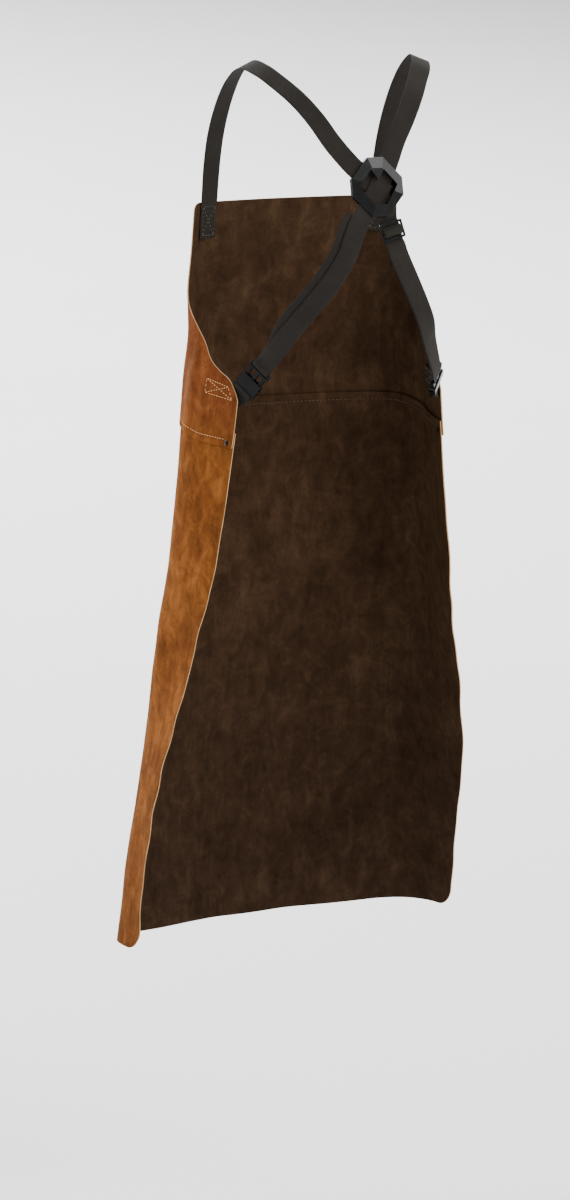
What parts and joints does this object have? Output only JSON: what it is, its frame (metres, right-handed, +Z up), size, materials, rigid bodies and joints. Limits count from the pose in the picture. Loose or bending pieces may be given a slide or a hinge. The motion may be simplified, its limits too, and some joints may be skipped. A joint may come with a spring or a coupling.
{
  "type": "leather bib apron",
  "caption": "Suede leather bib apron in its worn form, with a lapped skirt, webbing straps crossed through a back plate, an adjusting slide and side-release buckles.",
  "frame": {"origin": "midway between the two places where the straps rest on the wearer's shoulders", "axes": "+Z up, -Y to the apron's front, +X to the wearer's left"},
  "size_m": [0.4689, 0.3154, 1.0961],
  "materials": {
    "suede": "napped split leather, rust brown",
    "webbing": "woven, near-black brown",
    "moulding": "moulded, black",
    "rivet": "dark, satin"
  },
  "bodies": {
    "root": {"bib_panel": "suede", "skirt_panel": "suede", "seam_rivet_left": "rivet", "seam_rivet_right": "rivet", "strap_left": "webbing", "strap_right": "webbing", "back_plate": "moulding", "strap_slide": "moulding", "buckle_male_left": "moulding", "buckle_female_left": "moulding", "buckle_tab_left": "webbing", "buckle_male_right": "moulding", "buckle_female_right": "moulding", "buckle_tab_right": "webbing"}
  },
  "joints": []
}
